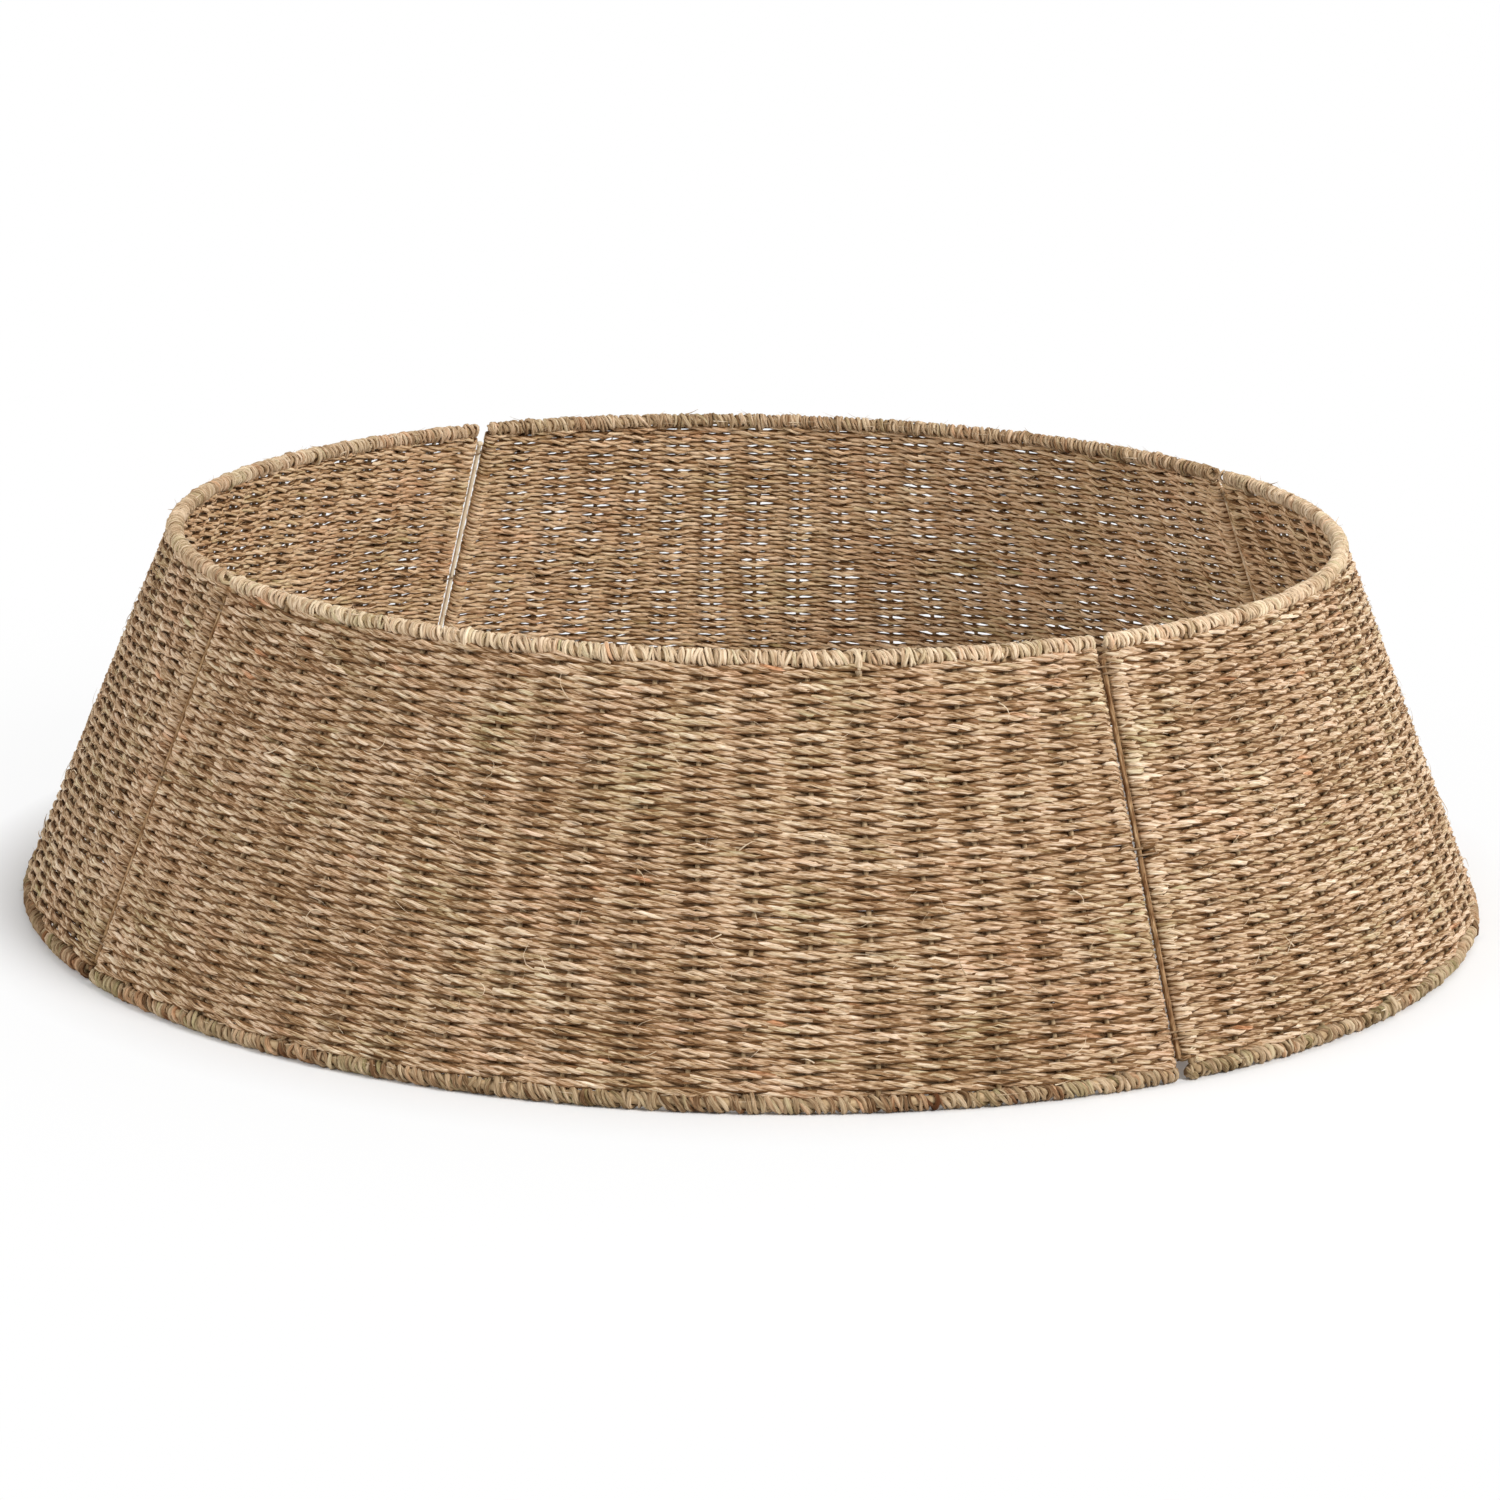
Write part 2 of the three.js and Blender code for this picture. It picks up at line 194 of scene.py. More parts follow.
# Loose fibres, away from the ends of the wall and the rims
WALL_FIBRES = 320
RIM_FIBRES = 80
FIBRE_POINTS = 5
FIBRE_RADIUS = 0.00014
FIBRE_THICKNESS = (1, 1, 1, 1, 2.4)
FIBRE_TAPER = 1.2
LOOSE_TONE = (0.3, 0.9)
SPACES_FROM_EDGE = 0.8
RUN_FROM_RAIL = 0.012
FIBRE_FOOT = 0.0034
FIBRE_SIDES = (1, 1, 1, -1)
FIBRE_LENGTH = (0.004, 0.014)
FIBRE_LIFT = (0.0004, 0.0022)
FIBRE_ARCH = 0.6 * math.pi
FIBRE_TILT = 0.5
FIBRE_CURL = 0.5
RIM_FIBRE_FOOT = 0.0036
RIM_FIBRE_LENGTH = (0.003, 0.010)
RIM_FIBRE_LIFT = (0.0006, 0.0036)
RIM_FIBRE_BEND = 1.5

# Cane pins, some browner than others: a shaft, and heights below the top and radii of the head
CANE_RADIUS = 0.0012
CANE_POINTS = 48
CANE_TIP = 0.001
CANE_TIP_RADIUS = 0.0006
CANE_NECK = 0.0022
CANE_HEAD = ((0.0017, 0.0016), (0.0011, 0.0019), (0.0004, 0.0017), (0, 0.0010))
CANE_TONE = {"front": 0.3, "right": 0.2, "back": 0.7, "left": 1.1}
CANE_MOTTLE = 0.12

# Wire loops on the pins
PIN_RADIUS = 0.0010
LOOP_WIRE = 0.0005
LOOP_GAP = 0.0003
LOOP_INSET = 0.015
LOOP_COUNT = 3
LOOP_LIFT = 0.0032
POINTS_ROUND_RAIL = 13
POINTS_ROUND_PIN = 9
CUP_SETBACK = 0.0005
CLOSING_PANEL = "back"

# Roundness of a strand, as the level of a curve's bevel: four sides, and two more for each level
FOUR_SIDED = 0
SIX_SIDED = 1
EIGHT_SIDED = 2
STRAND_SHIFT = 3.7


# Places on the wall: an angle round the ring, a run up the slope and a distance out of it
def ring_radius(run):
    return BOTTOM_RADIUS - run * SIN_LEAN


def wall_points(panel, angle, run, out):
    turned = angle + PANEL_ANGLE * PANELS.index(panel)
    radius = ring_radius(run) + out * COS_LEAN
    height = RIM_HEIGHT + run * COS_LEAN + out * SIN_LEAN
    flat = np.broadcast_arrays(radius * np.sin(turned), -radius * np.cos(turned), height)
    return np.stack(flat, axis=-1)


# Smooth random functions, each a sum of sines with so many waves, of so many turns per unit
def ripple(rng, waves, low, high):
    frequency = rng.uniform(low, high, waves)
    phase = rng.uniform(0, 2 * math.pi, waves)

    def value(x):
        turns = np.multiply.outer(x, frequency)
        return np.sin(2 * math.pi * turns + phase).sum(axis=-1) * math.sqrt(2 / waves)

    return value


def ripple_field(rng, waves, across, up):
    turns_across = rng.uniform(-across, across, waves)
    turns_up = rng.uniform(-up, up, waves)
    phase = rng.uniform(0, 2 * math.pi, waves)

    def value(x, y):
        turns = np.multiply.outer(x, turns_across) + np.multiply.outer(y, turns_up)
        return np.sin(2 * math.pi * turns + phase).sum(axis=-1) * math.sqrt(2 / waves)

    return value


# A stake's place on its panel, from 0 to STAKE_SPACES: the inner ones stand a little crooked
stake_sway = ripple_field(np.random.default_rng(STAKE_SEED), waves=14, across=8, up=2.5)


def spaces_to_edge(place):
    return np.minimum(place, STAKE_SPACES - place)


def rail_angle(run):
    return PANEL_ANGLE / 2 - PIN_TO_RAIL / ring_radius(run)


def place_angle(place, run):
    inner = np.clip(spaces_to_edge(place), 0, 1)
    sway = STAKE_WANDER * inner * stake_sway(np.divide(place, STAKE_SPACES), np.divide(run, WALL_RUN))
    return rail_angle(run) * (2 * place / STAKE_SPACES - 1) + sway / ring_radius(run)


# Strands: round tubes along lines
def path_length(points):
    steps = np.linalg.norm(np.diff(points, axis=0), axis=1)
    return np.concatenate([[0], np.cumsum(steps)])


def strand_tubes(name, lines, level, cyclic):
    curve = bpy.data.curves.new(name, "CURVE")
    curve.dimensions = "3D"
    curve.bevel_depth = 1
    curve.bevel_resolution = level
    for line in lines:
        points = line["points"]
        radius = np.broadcast_to(line["radius"], len(points)).astype(float)
        spline = curve.splines.new("POLY")
        spline.points.add(len(points) - 1)
        spline.points.foreach_set("co", np.c_[points, np.ones(len(points))].ravel())
        spline.points.foreach_set("radius", radius)
        spline.use_cyclic_u = cyclic
    holder = bpy.data.objects.new(name, curve)
    mesh = bpy.data.meshes.new_from_object(holder)
    bpy.data.objects.remove(holder)
    bpy.data.curves.remove(curve)
    mesh.name = name
    return mesh


# Where each point lies along and round its own strand, and the strand's tone and hue there
def mark_strands(mesh, lines, level):
    sides = 4 + 2 * level
    turn = np.arange(sides) * 2 * math.pi / sides
    strands = []
    for number, line in enumerate(lines):
        along = path_length(line["points"]) + STRAND_SHIFT * number
        ring = np.empty((len(along), sides, 3))
        ring[:, :, 0] = along[:, None]
        ring[:, :, 1] = np.cos(turn)
        ring[:, :, 2] = np.sin(turn)
        strands.append(ring.reshape(-1, 3))
    marks = mesh.attributes.new("strand", "FLOAT_VECTOR", "POINT")
    marks.data.foreach_set("vector", np.concatenate(strands).ravel())
    for key in ("tone", "hue"):
        values = []
        for line in lines:
            value = np.broadcast_to(line.get(key, MIDDLE), len(line["points"]))
            values.append(np.repeat(value, sides))
        marks = mesh.attributes.new(key, "FLOAT", "POINT")
        marks.data.foreach_set("value", np.concatenate(values))


# Painted shade: the plies of a cord are darker in the grooves between them, near the middle of the cord,
# where shade falls
def paint_groove_shade(mesh, middles):
    places = np.empty(3 * len(mesh.vertices))
    mesh.vertices.foreach_get("co", places)
    rings = places.reshape(PLIES, len(middles), -1, 3)
    depth = np.linalg.norm(rings - middles[None, :, None, :], axis=-1).ravel()
    tones = np.empty(len(mesh.vertices))
    values = mesh.attributes["tone"].data
    values.foreach_get("value", tones)
    tones -= GROOVE_PAINTED_SHADE * (1 - np.clip((depth - GROOVE_FLOOR) / (GROOVE_BRIM - GROOVE_FLOOR), 0, 1))
    values.foreach_set("value", tones)


def strand_piece(name, lines, material, level, cyclic=False):
    mesh = strand_tubes(name, lines, level, cyclic)
    mark_strands(mesh, lines, level)
    shape = bmesh.new()
    shape.from_mesh(mesh)
    ends = [edge for edge in shape.edges if edge.is_boundary]
    bmesh.ops.holes_fill(shape, edges=ends)
    bmesh.ops.recalc_face_normals(shape, faces=shape.faces)
    shape.to_mesh(mesh)
    shape.free()
    mesh.shade_smooth()
    mesh.materials.clear()
    mesh.materials.append(material)
    piece = bpy.data.objects.new(name, mesh)
    bpy.context.scene.collection.objects.link(piece)
    return piece


# What a piece moves with and which CAD nodes it stands for
def fit(piece, body, slot, *nodes):
    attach(piece, body)
    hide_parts(*nodes)


# Materials, with colours written as screen values from 0 to 255
def linear(red, green, blue):
    def channel(value):
        share = value / 255
        return share / 12.92 if share <= 0.04045 else ((share + 0.055) / 1.055) ** 2.4

    return channel(red), channel(green), channel(blue), 1


# Shades of each kind of grass from dark to pale, by tone
WALL_SHADES = [
    (0.0, linear(84, 52, 22)),
    (0.3, linear(152, 119, 85)),
    (0.5, linear(194, 165, 134)),
    (0.75, linear(222, 200, 174)),
    (1.0, linear(246, 229, 208)),
]
# The inner strands' dark colours are painted shade
CORE_PAINTED_SHADE_RAMP = [
    (0.0, linear(76, 48, 22)),
    (1.0, linear(164, 124, 84)),
]
RIM_SHADES = [
    (0.0, linear(116, 86, 56)),
    (0.3, linear(178, 151, 119)),
    (0.55, linear(212, 189, 160)),
    (1.0, linear(248, 230, 204)),
]
FOOT_SHADES = [
    (0.0, linear(84, 56, 30)),
    (0.3, linear(128, 103, 75)),
    (0.55, linear(160, 137, 107)),
    (1.0, linear(200, 178, 149)),
]
CANE_SHADES = [
    (0.0, linear(104, 70, 40)),
    (0.5, linear(176, 144, 106)),
    (1.0, linear(240, 226, 200)),
]

# Tints of the grass by hue: greenish, plain and rusty
GRASS_TINTS = [
    (0.2, linear(228, 238, 214)),
    (0.42, linear(255, 255, 250)),
    (0.58, linear(255, 250, 246)),
    (0.85, linear(255, 218, 194)),
]

# The wall's two sides: on the inner one, a warm tint that is painted bounce light and a paler tone that is
# painted light; in the middle of the wall, darker crevices that are painted shade
SIDE_PAINTED_BOUNCE_TINTS = [
    (0.0, linear(255, 245, 231)),
    (1.0, linear(255, 255, 255)),
]
SIDE_BLEND = 0.001
INNER_PAINTED_LIGHT = 0.14
CREVICE_DEPTH = 0.0011
CREVICE_PAINTED_SHADE = 0.62

# Grain along and round a strand of grass: fibres, hairs on them and patches of another tint
FIBRE_GRAIN = (90, 1.3, 1.3)
HAIR_GRAIN = (260, 3.6, 3.6)
PATCH_GRAIN = (40, 0.6, 0.6)
GRAIN_DETAIL = 3
GRAIN_LOW = 0.3
GRAIN_HIGH = 0.7
FIBRE_SHADE = 0.18
HAIR_SHADE = 0.32
PATCH_TINT = 0.1
DULL_GRASS = 0.9
SMOOTH_GRASS = 0.7
GRASS_SHINE = 0.2
GRASS_BUMP = 0.8
GRASS_BUMP_DEPTH = 0.0003

# Grain of the enamelled wires
WIRE_GRAIN = (160, 1.4, 1.4)
WIRE_DULLER = 0.12
WIRE_SMOOTHER = 0.08
WIRE_BUMP = 0.3
WIRE_BUMP_DEPTH = 0.0002


# The node tree of one material
class Nodes:
    def __init__(self, name):
        self.material = bpy.data.materials.new(name)
        self.material.use_nodes = True
        self.tree = self.material.node_tree
        self.shader = self.tree.nodes["Principled BSDF"]

    def add(self, kind, settings=(), **inputs):
        node = self.tree.nodes.new(kind)
        for key, value in dict(settings).items():
            setattr(node, key, value)
        for key, value in inputs.items():
            self.set(node.inputs[key.replace("_", " ")], value)
        return node

    def set(self, socket, value):
        if isinstance(value, bpy.types.NodeSocket):
            self.tree.links.new(value, socket)
        else:
            socket.default_value = value

    def attribute(self, name, output):
        return self.add("ShaderNodeAttribute", {"attribute_name": name}).outputs[output]

    def grain(self, strand, scale):
        stretched = self.add("ShaderNodeMapping", Vector=strand, Scale=scale)
        noise = self.add("ShaderNodeTexNoise", Vector=stretched.outputs[0], Scale=1, Detail=GRAIN_DETAIL)
        return noise.outputs["Fac"]

    def ramp(self, value, stops):
        node = self.add("ShaderNodeValToRGB", Fac=value)
        elements = node.color_ramp.elements
        while len(elements) < len(stops):
            elements.new(1)
        for element, (position, colour) in zip(elements, stops):
            element.position = position
            element.color = colour
        return node.outputs["Color"]

    def range(self, value, low, high, new_low, new_high):
        limits = {"From_Min": low, "From_Max": high, "To_Min": new_low, "To_Max": new_high}
        return self.add("ShaderNodeMapRange", Value=value, **limits).outputs["Result"]

    def by_grain(self, grain, new_low, new_high):
        return self.range(grain, GRAIN_LOW, GRAIN_HIGH, new_low, new_high)

    def math(self, operation, first, second):
        node = self.add("ShaderNodeMath", {"operation": operation})
        self.set(node.inputs[0], first)
        self.set(node.inputs[1], second)
        return node.outputs[0]

    def length(self, vector):
        node = self.add("ShaderNodeVectorMath", {"operation": "LENGTH"}, Vector=vector)
        return node.outputs["Value"]

    def tinted(self, colour, tint):
        node = self.add("ShaderNodeVectorMath", {"operation": "MULTIPLY"})
        self.set(node.inputs[0], colour)
        self.set(node.inputs[1], tint)
        return node.outputs[0]

    def bump(self, height, strength, distance):
        node = self.add("ShaderNodeBump", Height=height, Strength=strength, Distance=distance)
        self.set(self.shader.inputs["Normal"], node.outputs["Normal"])


# Distance of a point out of the middle of the wall
def wall_side(nodes):
    place = nodes.add("ShaderNodeSeparateXYZ", Vector=nodes.add("ShaderNodeTexCoord").outputs["Object"])
    level = nodes.add("ShaderNodeCombineXYZ", X=place.outputs["X"], Y=place.outputs["Y"])
    outward = nodes.math("MULTIPLY", nodes.length(level.outputs[0]), COS_LEAN)
    upward = nodes.math("MULTIPLY", place.outputs["Z"], SIN_LEAN)
    wall = BOTTOM_RADIUS * COS_LEAN + RIM_HEIGHT * SIN_LEAN
    return nodes.math("SUBTRACT", nodes.math("ADD", outward, upward), wall)


# Painted light and shade on the wall: the inner side is made paler, and the crevices in the middle of the
# wall darker
def painted_light_and_shade(nodes, shade, side):
    lift = nodes.range(side, -SIDE_BLEND, SIDE_BLEND, INNER_PAINTED_LIGHT, 0)
    depth = nodes.math("ABSOLUTE", side, 0)
    painted_crevice_shade = nodes.range(depth, 0, CREVICE_DEPTH, CREVICE_PAINTED_SHADE, 1)
    return nodes.math("MULTIPLY", nodes.math("ADD", shade, lift), painted_crevice_shade)


def grass_material(name, shades, woven=False):
    nodes = Nodes(name)
    strand = nodes.attribute("strand", "Vector")
    fibre = nodes.grain(strand, FIBRE_GRAIN)
    hair = nodes.grain(strand, HAIR_GRAIN)
    shade = nodes.attribute("tone", "Fac")
    shade = nodes.math("ADD", shade, nodes.by_grain(fibre, -FIBRE_SHADE, FIBRE_SHADE))
    shade = nodes.math("ADD", shade, nodes.by_grain(hair, -HAIR_SHADE, HAIR_SHADE))
    # The wall gets painted light on its inner side and painted shade in its crevices
    if woven:
        side = wall_side(nodes)
        shade = painted_light_and_shade(nodes, shade, side)
    patch = nodes.by_grain(nodes.grain(strand, PATCH_GRAIN), -PATCH_TINT, PATCH_TINT)
    hue = nodes.math("ADD", nodes.attribute("hue", "Fac"), patch)
    colour = nodes.tinted(nodes.ramp(shade, shades), nodes.ramp(hue, GRASS_TINTS))
    # The inner side's warm tint is painted bounce light
    if woven:
        outer = nodes.range(side, -SIDE_BLEND, SIDE_BLEND, 0, 1)
        colour = nodes.tinted(colour, nodes.ramp(outer, SIDE_PAINTED_BOUNCE_TINTS))
    nodes.set(nodes.shader.inputs["Base Color"], colour)
    nodes.set(nodes.shader.inputs["Roughness"], nodes.by_grain(fibre, DULL_GRASS, SMOOTH_GRASS))
    nodes.shader.inputs["Specular IOR Level"].default_value = GRASS_SHINE
    nodes.bump(nodes.math("ADD", fibre, hair), GRASS_BUMP, GRASS_BUMP_DEPTH)
    return nodes.material


def wire_material(name, dark, light, metallic, roughness):
    nodes = Nodes(name)
    mottle = nodes.grain(nodes.attribute("strand", "Vector"), WIRE_GRAIN)
    colour = nodes.ramp(mottle, [(GRAIN_LOW, dark), (GRAIN_HIGH, light)])
    gloss = nodes.by_grain(mottle, roughness + WIRE_DULLER, roughness - WIRE_SMOOTHER)
    nodes.set(nodes.shader.inputs["Base Color"], colour)
    nodes.set(nodes.shader.inputs["Roughness"], gloss)
    nodes.shader.inputs["Metallic"].default_value = metallic
    nodes.bump(mottle, WIRE_BUMP, WIRE_BUMP_DEPTH)
    return nodes.material


WALL_GRASS = grass_material("wall_seagrass", WALL_SHADES, woven=True)
CORE_PAINTED_SHADE_GRASS = grass_material("core_seagrass_painted_shade", CORE_PAINTED_SHADE_RAMP)
RIM_GRASS = grass_material("rim_seagrass", RIM_SHADES)
FOOT_GRASS = grass_material("foot_seagrass", FOOT_SHADES)
PIN_CANE = grass_material("pin_cane", CANE_SHADES)
FRAME_WIRE = wire_material(
    "frame_wire", linear(158, 130, 94), linear(192, 164, 124), metallic=0, roughness=0.6)
LOOP_METAL = wire_material(
    "loop_wire", linear(112, 88, 62), linear(148, 120, 88), metallic=0.2, roughness=0.5)


# Woven wall: one cord to and fro round the stakes, turning back round the side rails
def row_heights(rng):
    pitch = (WALL_RUN - 2 * ROWS_FROM_RAIL) / (ROWS - 1)
    wall_wander = ripple_field(rng, waves=12, across=4, up=3)
    row_wander = [ripple(rng, waves=6, low=1, high=9) for _ in range(ROWS)]

    def row_run(row, place):
        share = place / STAKE_SPACES
        rise = row / (ROWS - 1)
        loose = math.sin(math.pi * rise) * WALL_WANDER * wall_wander(share, np.full_like(share, rise))
        return ROWS_FROM_RAIL + pitch * row + loose + ROW_WANDER * row_wander[row](share)

    return row_run


def cord_heights(rng, panel):
    drawn = rng.uniform(0, 1, (ROWS, STAKE_SPACES + 1))
    rows = np.linspace(0, 1, ROWS)
    wires = np.linspace(0, 1, STAKE_SPACES + 1)
    rise, share = np.meshgrid(rows, wires, indexing="ij")
    tight_top = TIGHT_TOP * np.clip((rise - TIGHT_FROM) / TIGHT_RISE, 0, 1)
    wander = ripple_field(rng, waves=10, across=3, up=2)(share, rise)
    slack = SLACK[panel] + SLACK_WANDER * wander - tight_top
    return ROUND_CORD + (FLAT_CORD - ROUND_CORD) * drawn ** np.exp2(slack)


def weft_row(row_run, row, heading, points_per_space):
    place = np.linspace(0, STAKE_SPACES, STAKE_SPACES * points_per_space + 1)[::heading]
    tuck = EDGE_TUCK * np.exp(-TUCK_FADE * spaces_to_edge(place))
    return {
        "row": np.full(len(place), row),
        "place": place,
        "across": np.zeros_like(place),
        "run": row_run(row, place),
        "out": heading * (CORD_SWING - tuck) * np.cos(math.pi * place) ** SWING_POWER,
        "facing": np.full_like(place, heading),
        "aside": np.zeros_like(place),
    }


def weft_turn(row_run, row, heading, before, turns):
    share = np.arange(1, TURN_POINTS + 1) / (TURN_POINTS + 1)
    turn = TURN_WRAP * share
    reach, tuck_in = turns[heading > 0]
    to_seam = np.maximum(0, np.sin(turn))
    from_seam = np.minimum(0, np.sin(turn))
    rise = share - TURN_SLACK * np.sin(2 * math.pi * share)
    place = np.full(TURN_POINTS, before["place"][-1])
    start = before["run"][-1]
    end = row_run(row + 1, place[:1])
    return {
        "row": np.full(TURN_POINTS, row),
        "place": place,
        "across": heading * (reach * to_seam + TURN_SWING * from_seam),
        "run": start + (end - start) * rise,
        "out": heading * (CORD_SWING - EDGE_TUCK) * np.cos(turn) - tuck_in * to_seam ** 2,
        "facing": heading * np.cos(turn),
        "aside": heading * np.sin(turn),
    }


def weft_line(row_run, rows, points_per_space, turns):
    parts = []
    for row in rows:
        heading = 1 if row % 2 == 0 else -1
        parts.append(weft_row(row_run, row, heading, points_per_space))
        if row != rows[-1]:
            parts.append(weft_turn(row_run, row, heading, parts[-1], turns))
    return {key: np.concatenate([part[key] for part in parts]) for key in parts[0]}


def weft_points(panel, line, up, away):
    run = line["run"] + up
    across = line["across"] + away * line["aside"]
    angle = place_angle(line["place"], run) + across / ring_radius(run)
    return wall_points(panel, angle, run, line["out"] + away * line["facing"])


def over_wire(line):
    return np.cos(math.pi * line["place"]) ** OVER_WIRE_POWER


def cord_height(line, heights, between):
    wire = np.rint(line["place"]).astype(int)
    return between + (heights[line["row"], wire] - between) * over_wire(line)


def cord_tone(panel, line):
    outer = np.clip(0.5 + line["out"] / (2 * CORD_SWING), 0, 1)
    edge = np.exp(-EDGE_FADE * spaces_to_edge(line["place"]))
    return INNER_TONE_AND_PAINTED_LIGHT[panel] + (OUTER_TONE_AND_PAINTED_LIGHT[panel] - INNER_TONE_AND_PAINTED_LIGHT[panel]) * outer + EDGE_TONE * edge


def spots(rng, along, count):
    middles = rng.uniform(0, along[-1], count)
    lengths = rng.uniform(*SPOT_LENGTH, count)
    return np.exp(-((along[:, None] - middles) / lengths) ** 2).sum(axis=1)


def ply_look(rng, along, tone, hue, fullness):
    tone = tone + PLY_TONE * ripple(rng, waves=12, low=0.5, high=20)(along)
    hue = hue + PLY_HUE * ripple(rng, waves=12, low=0.5, high=20)(along)
    lumps = PLY_LUMPS * ripple(rng, waves=9, low=4, high=60)(along)
    pale = PALE_SPOT_TONE * spots(rng, along, PALE_SPOTS)
    rusty = RUSTY_SPOT_HUE * spots(rng, along, RUSTY_SPOTS)
    green = GREEN_SPOT_HUE * spots(rng, along, GREEN_SPOTS)
    return {"radius": PLY_RADIUS * fullness * (1 + lumps), "tone": tone + pale, "hue": hue + rusty - green}


def weft_plies(panel, rng, line, heights):
    along = path_length(weft_points(panel, line, 0, 0))
    share = line["place"] / STAKE_SPACES
    rise = line["run"] / WALL_RUN
    height = cord_height(line, heights, CORD_BETWEEN[panel])
    twist = 2 * math.pi * along / CORD_TWIST + TWIST_WANDER * ripple(rng, waves=7, low=1, high=6)(along)
    patch = ripple_field(rng, waves=12, across=6, up=3)(share, rise)
    tint = ripple_field(rng, waves=16, across=8, up=4)(share, rise)
    fullness = 1 + CORD_LUMPS * ripple(rng, waves=9, low=1, high=9)(along) + PATCH_LUMPS * patch
    tone = cord_tone(panel, line) + PATCH_TONE * patch
    hue = CORD_HUE + PATCH_HUE * tint
    plies = []
    for ply in range(PLIES):
        turn = twist + 2 * math.pi * ply / PLIES
        up = PLY_OFFSET * height * np.cos(turn)
        away = PLY_OFFSET * (1 - PLY_PRESSED * over_wire(line)) * np.sin(turn)
        look = ply_look(rng, along, tone, hue, fullness)
        plies.append({"points": weft_points(panel, line, up, away), **look})
    return plies


# Two inner strands that fill the cord; their dark colour is painted shade where the gaps between plies and
# rows show
def weft_core(panel, line, heights):
    middle = CORE_MIDDLE[panel] * np.sin(math.pi * line["place"]) ** MIDDLE_POWER
    up = CORE_OFFSET * (cord_height(line, heights, CORE_BETWEEN[panel]) + middle)
    strands = []
    for side in (-1, 1):
        points = weft_points(panel, line, side * up, 0)
        strands.append({"points": points, "radius": CORE_RADIUS, "tone": CORE_PAINTED_SHADE_TONE[panel]})
    return strands


def weave_panel(panel, number):
    rng = np.random.default_rng(WEAVE_SEED + number)
    row_run = row_heights(rng)
    heights = cord_heights(rng, panel)
    turns = (SEAM_TURN[panel], SEAM_TURN[PANELS[(number + 1) % len(PANELS)]])
    half = ROWS // 2
    for name, rows in (("lower", range(half)), ("upper", range(half, ROWS))):
        line = weft_line(row_run, rows, PLY_POINTS_PER_SPACE, turns)
        plies = weft_plies(panel, rng, line, heights)
        piece = strand_piece(f"{panel}_weave_{name}", plies, WALL_GRASS, FOUR_SIDED)
        paint_groove_shade(piece.data, weft_points(panel, line, 0, 0))
        fit(piece, f"{panel}_panel", "seagrass", f"{panel}_weave")
    core = weft_core(panel, weft_line(row_run, range(ROWS), CORE_POINTS_PER_SPACE, turns), heights)
    piece = strand_piece(f"{panel}_weave_core", core, CORE_PAINTED_SHADE_GRASS, FOUR_SIDED)
    fit(piece, f"{panel}_panel", "seagrass", f"{panel}_weave")


# Whipped rims: strands wound side by side round the rail, drawn together over its ends.
# run and side: where the rim is on the wall, and which way it faces; sink lowers it
# strands, strand, thickness: how many strands, a strand's radius and the whole rim's
# pitch, gather, slip, bulge: length of a turn, how much of it the strands fill, and how uneven they lie
# lashed, lash: share of the wires with a lash over the first row, and how far it reaches
TOP_RIM = {
    "name": "top", "run": WALL_RUN, "side": 1, "sink": 0, "to_pin": 0.0032, "seed": TOP_RIM_SEED,
    "material": RIM_GRASS, "slot": "pale_seagrass",
    "strands": 3, "strand": 0.00090, "thickness": 0.0040,
    "pitch": 0.0046, "gather": 1, "slip": 0.0011, "bulge": 0.08,
    "lashed": 0.6, "lash": 0.0034,
    "tone": TOP_TONE_AND_PAINTED_LIGHT, "patches": 0.05, "mottle": 0.10, "tints": 0.06,
}
BOTTOM_RIM = {
    "name": "bottom", "run": 0, "side": -1, "sink": 0.0005, "to_pin": 0.0028, "seed": BOTTOM_RIM_SEED,
    "material": FOOT_GRASS, "slot": "seagrass",
    "strands": 4, "strand": 0.00112, "thickness": 0.0040,
    "pitch": 0.0082, "gather": 0.86, "slip": 0.0013, "bulge": 0.09,
    "lashed": 0.5, "lash": 0.0030,
    "tone": FOOT_TONE_AND_PAINTED_LIGHT, "patches": 0.08, "mottle": 0.19, "tints": 0.10,
}


def whip_angle(rng, rim, shift, turn):
    radius = ring_radius(rim["run"])
    rim_end = PANEL_ANGLE / 2 - rim["to_pin"] / radius
    slip = rim["slip"] * ripple(rng, waves=12, low=0.1, high=1.4)(turn) / radius
    return np.clip(rim_end * (2 * (turn + shift) / turn[-1] - 1) + slip, -rim_end, rim_end)


def whip_place(rim, angle):
    return np.clip(STAKE_SPACES * (angle / rail_angle(rim["run"]) + 1) / 2, 0, STAKE_SPACES)


def lash_over(rim, place, lashed):
    wire = np.rint(place).astype(int)
    beside = (place - wire) * 2 * rail_angle(rim["run"]) * ring_radius(rim["run"]) / STAKE_SPACES
    return lashed[wire] * np.exp(-(beside / LASH_WIDTH) ** 2)


def whip_strand(rng, rim, angle, turn, lash):
    radius = ring_radius(rim["run"])
    thick = rim["strand"] * (1 + WHIP_LUMPS * ripple(rng, waves=12, low=0.1, high=0.9)(turn))
    bulge = 1 + rim["bulge"] * ripple(rng, waves=12, low=0.15, high=1.2)(turn) + LASH_BULGE * lash
    to_pin = (PANEL_ANGLE / 2 - np.abs(angle)) * radius
    reach = np.minimum((rim["thickness"] - rim["strand"]) * bulge, to_pin - thick - RIM_CLEARANCE)
    around = 2 * math.pi * turn
    slide = rim["side"] * rim["lash"] * lash * np.maximum(0, -rim["side"] * np.cos(around))
    ring = radius + reach * np.sin(around) + slide * SIN_LEAN
    height = RIM_HEIGHT - rim["sink"] + rim["run"] * COS_LEAN + reach * np.cos(around) - slide * COS_LEAN
    return ring, np.maximum(height, thick), thick


